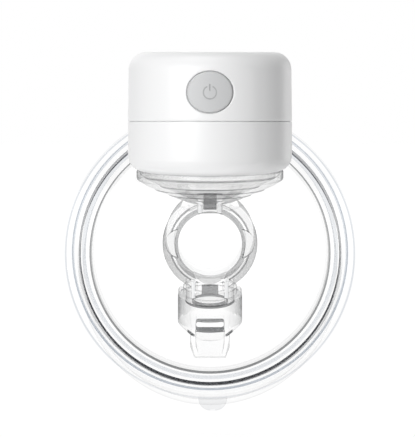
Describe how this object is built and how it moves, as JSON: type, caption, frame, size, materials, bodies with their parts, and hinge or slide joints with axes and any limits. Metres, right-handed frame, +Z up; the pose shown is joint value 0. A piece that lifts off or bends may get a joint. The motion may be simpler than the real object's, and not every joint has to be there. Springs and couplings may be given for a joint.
{
  "type": "wearable breast pump",
  "caption": "Hands-free breast pump: motor unit with a button on a clear dish linker with duckbill valve, inside a clear milk collector closed by a silicone breast shield.",
  "frame": {"origin": "on the nipple tunnel's axis, in the plane of the milk spigot's axis", "axes": "+Z up towards the motor unit, -Y the front with the button, +Y the body side, +X to the viewer's right"},
  "size_m": [0.1266, 0.0762, 0.1531],
  "materials": {
    "clear_shell": "gloss",
    "clear_linker": "gloss",
    "silicone": "satin",
    "housing_white": "satin",
    "button_grey": "matte",
    "gasket_grey": "matte",
    "board_green": "satin",
    "chip_black": "matte",
    "steel": "brushed",
    "brass": "satin",
    "cell_foil": "satin",
    "foam": "matte",
    "magnet": "matte",
    "natural_plastic": "matte",
    "copper": "gloss",
    "lead_red": "satin"
  },
  "bodies": {
    "collector_assembly": {"milk_collector": "clear_shell", "linker": "clear_linker"},
    "motor_unit": {"upper_housing": "housing_white", "lower_housing": "housing_white", "housing_gasket": "gasket_grey", "housing_screws": "steel", "suction_port_seal": "gasket_grey", "tact_switch": "chip_black", "control_board": "board_green", "board_components": "chip_black", "battery_cell": "cell_foil", "battery_pad": "foam", "charging_socket": "steel", "charging_board": "board_green", "motor_can": "steel", "motor_magnets": "magnet", "motor_end_cap": "natural_plastic", "motor_bushing": "brass", "pump_frame": "natural_plastic", "pump_head": "natural_plastic", "valve_plate": "natural_plastic", "umbrella_valves": "gasket_grey", "pump_cover": "natural_plastic", "pump_head_screws": "steel", "pump_rubber": "gasket_grey", "solenoid_frame": "natural_plastic", "solenoid_coil": "copper", "solenoid_spring": "steel", "suction_sleeve": "silicone", "release_tube": "silicone", "motor_leads": "lead_red"},
    "power_button": {"power_button": "button_grey", "switch_plunger": "chip_black"},
    "pump_rotor": {"motor_shaft": "steel", "motor_armature": "copper", "eccentric_crank": "natural_plastic"},
    "pump_rod": {"connecting_rod": "natural_plastic"},
    "release_plunger": {"solenoid_plunger": "steel"},
    "breast_shield": {"breast_shield": "silicone"},
    "duckbill_valve": {"duckbill_valve": "silicone"},
    "backflow_diaphragm": {"backflow_diaphragm": "silicone"}
  },
  "joints": [
    {"name": "motor_lift", "type": "slide", "parent": "collector_assembly", "child": "motor_unit", "axis": [0, 0, 1], "range_m": [0, 0.03]},
    {"name": "button_press", "type": "slide", "parent": "motor_unit", "child": "power_button", "axis": [0, 1, 0], "range_m": [0, 0.0008], "stiffness_N_per_m": 400},
    {"name": "pump_spin", "type": "hinge", "parent": "motor_unit", "child": "pump_rotor", "pos_m": [0, -0.007, 0.056], "axis": [1, 0, 0], "continuous": true},
    {"name": "pump_stroke", "type": "slide", "parent": "motor_unit", "child": "pump_rod", "axis": [0, 0, 1], "range_m": [-0.001, 0.001], "deforming": ["pump_rubber"]},
    {"name": "release_stroke", "type": "slide", "parent": "motor_unit", "child": "release_plunger", "axis": [0, 0, -1], "range_m": [0, 0.001], "stiffness_N_per_m": 150, "deforming": ["solenoid_spring"]},
    {"name": "shield_pull", "type": "slide", "parent": "collector_assembly", "child": "breast_shield", "axis": [0, 1, 0], "range_m": [0, 0.04]},
    {"name": "valve_pull", "type": "slide", "parent": "collector_assembly", "child": "duckbill_valve", "axis": [0, 0, -1], "range_m": [0, 0.012], "stiffness_N_per_m": 60},
    {"name": "backflow_flex", "type": "slide", "parent": "collector_assembly", "child": "backflow_diaphragm", "axis": [0, 0, 1], "range_m": [-0.001, 0.003], "stiffness_N_per_m": 60, "deforming": ["backflow_diaphragm"]}
  ]
}
